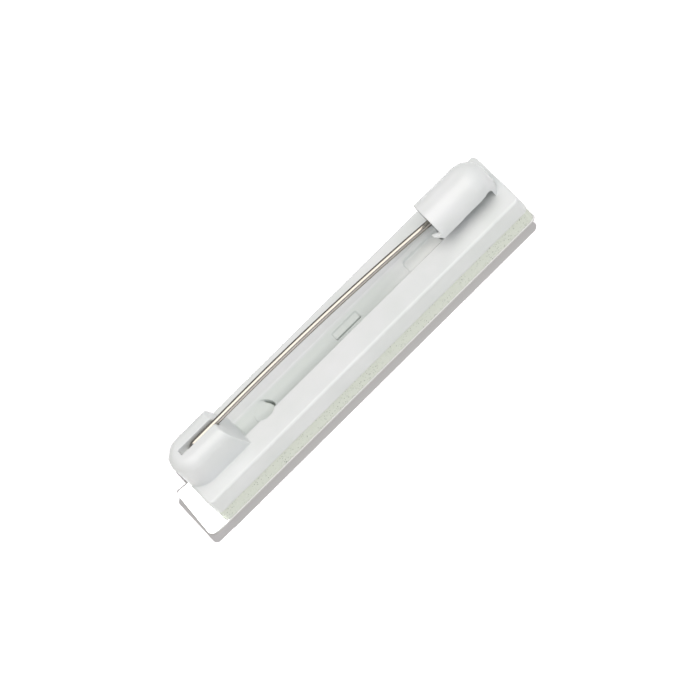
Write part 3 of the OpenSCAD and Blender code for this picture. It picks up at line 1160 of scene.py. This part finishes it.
class BARPIN_OT_stage(bpy.types.Operator):
    """Adds the floor, the lights and the camera"""

    bl_idname = "barpin.stage"
    bl_label = "Studio Stage"

    elevation: bpy.props.FloatProperty(
        name="Elevation", description="Camera above the floor", default=math.radians(48.2),
        subtype="ANGLE",
    )
    roll: bpy.props.FloatProperty(
        name="Roll", description="Turn of the picture", default=math.radians(44.7),
        subtype="ANGLE",
    )
    pixels_per_mm: bpy.props.FloatProperty(
        name="Picture scale", description="Picture points for each millimetre", default=13.5
    )
    shadow_width: bpy.props.FloatProperty(
        name="Shadow width", description="Shadow strip on the near side, millimetres", default=0.75
    )
    shadow_side: bpy.props.FloatProperty(
        name="Shadow side", description="Shadow strip past the tab's end, millimetres", default=0.18
    )

    def add_floor(self, sizes, finish):
        """The floor and, under the part, the shade that the photograph shows beside it.

        The shade is in sheets of the floor's own material that the floor light leaves out.
        They throw no light back on the part.
        """
        material = studio_floor(finish)
        reach = 600
        corners = [(-reach, -reach), (reach, -reach), (reach, reach), (-reach, reach)]
        floor_level, first_sheet, sheet_step = -0.02, -0.014, 0.002
        floor = flat_sheet("studio_floor", corners, floor_level, material)
        side, width, under_bar = self.shadow_side, self.shadow_width, 1.0
        tab_far = LINER_HIGH.y - sizes.tab_inset
        tab = round_rect(
            (LINER_LOW.x - side, LINER_LOW.y - width),
            (BAR_LOW.x + under_bar, tab_far - width / 2),
            (sizes.tab_corner, 0, 0, sizes.tab_corner),
        )
        low = (BAR_LOW.x - side, BAR_LOW.y - width)
        high = (BAR_HIGH.x - 2 * side, BAR_HIGH.y - width)
        bar = round_rect(low, high, sizes.liner_corner)
        # The bar's end shades the floor past its far side, and the lifted tab its own edge.
        out, under, past_far, corner = 0.1, 0.2, 0.9, 0.06
        bar_end = round_rect(
            (low[0] - out, tab_far), (BAR_LOW.x + under, BAR_HIGH.y + past_far), corner
        )
        tab_start, width_at_bar, width_at_end = LINER_LOW.x + 0.3, 0.2, 0.34
        tab_edge = [
            (tab_start, tab_far),
            (BAR_LOW.x, tab_far),
            (BAR_LOW.x, tab_far + width_at_bar),
            (tab_start, tab_far + width_at_end),
        ]
        sheets = {"tab_shade": tab, "bar_shade": bar, "end_shade": bar_end, "edge_shade": tab_edge}
        for layer, (name, outline) in enumerate(sheets.items()):
            level = first_sheet + sheet_step * layer
            sheets[name] = flat_sheet(name, outline, level, material)
        # The tent of light gives the part its share from below, even all round.
        for sheet in (floor, *sheets.values()):
            sheet.visible_diffuse = False
            sheet.visible_shadow = False
        return floor

    def add_lights(self, scene, floor):
        scene.world = studio_world("#F7F5EB", "#84868A", "#C6CAD2", 1.0)
        softbox("Overhead", 8, 78, 450, (440, 600), 1.7, "#FFF9EE")
        sun = bpy.data.lights.new("Floor Light", "SUN")
        sun.energy = 6.0
        sun.angle = math.radians(1)
        lamp = bpy.data.objects.new("Floor Light", sun)
        lamp.rotation_euler = Vector((0, 0, 1)).to_track_quat("Z", "Y").to_euler()
        scene.collection.objects.link(lamp)
        lit = bpy.data.collections.new(LIT_BY_FLOOR_LIGHT)
        lit.objects.link(floor)
        lamp.light_linking.receiver_collection = lit

    def add_camera(self, scene):
        camera_data = bpy.data.cameras.new("Photo View")
        camera_data.lens = 300
        camera_data.sensor_width = 36
        camera_data.clip_start = 0.01
        picture = 700
        across = picture / self.pixels_per_mm
        distance = across * camera_data.lens / camera_data.sensor_width
        camera = bpy.data.objects.new("Photo View", camera_data)
        back = direction(0, math.degrees(self.elevation))
        turn = back.to_track_quat("Z", "Y").to_matrix() @ Matrix.Rotation(-self.roll, 3, "Z")
        # Where the pad's centre lies in the photograph's 700 by 700 frame.
        origin_x, origin_y = 359.9, 347.9
        right = (origin_x - picture / 2) / self.pixels_per_mm
        up = (picture / 2 - origin_y) / self.pixels_per_mm
        target = -right * turn.col[0] - up * turn.col[1]
        camera.matrix_world = Matrix.Translation((target + back * distance) * MM) @ turn.to_4x4()
        scene.collection.objects.link(camera)
        scene.camera = camera

    def execute(self, context):
        scene = context.scene
        floor = self.add_floor(scene.bar_pin_sizes, scene.bar_pin_finish)
        self.add_lights(scene, floor)
        self.add_camera(scene)
        scene.view_settings.view_transform = "Standard"
        scene.view_settings.look = "None"
        return {"FINISHED"}


class BARPIN_PT_sidebar(bpy.types.Panel):
    """Lists the finding's pieces"""

    bl_idname = "BARPIN_PT_sidebar"
    bl_label = "Bar Pin Finding"
    bl_space_type = "VIEW_3D"
    bl_region_type = "UI"
    bl_category = "Bar Pin"

    def draw(self, context):
        for step in STEPS:
            self.layout.operator(step.bl_idname)
        for group in (context.scene.bar_pin_sizes, context.scene.bar_pin_finish):
            box = self.layout.box()
            for name in group.__annotations__:
                box.prop(group, name)


STEPS = (
    BARPIN_OT_stage,
    BARPIN_OT_release_liner,
    BARPIN_OT_foam_pad,
    BARPIN_OT_moulded_bar,
    BARPIN_OT_wire_pin,
)
CLASSES = (BarPinSizes, BarPinFinish, *STEPS, BARPIN_PT_sidebar)


def register():
    for item in CLASSES:
        bpy.utils.register_class(item)
    bpy.types.Scene.bar_pin_sizes = bpy.props.PointerProperty(type=BarPinSizes)
    bpy.types.Scene.bar_pin_finish = bpy.props.PointerProperty(type=BarPinFinish)


def unregister():
    del bpy.types.Scene.bar_pin_finish
    del bpy.types.Scene.bar_pin_sizes
    for item in reversed(CLASSES):
        bpy.utils.unregister_class(item)


def main():
    register()
    bpy.ops.barpin.stage()
    bpy.ops.barpin.release_liner()
    bpy.ops.barpin.foam_pad()
    bpy.ops.barpin.moulded_bar()
    bpy.ops.barpin.wire_pin()


if __name__ == "__main__":
    main()
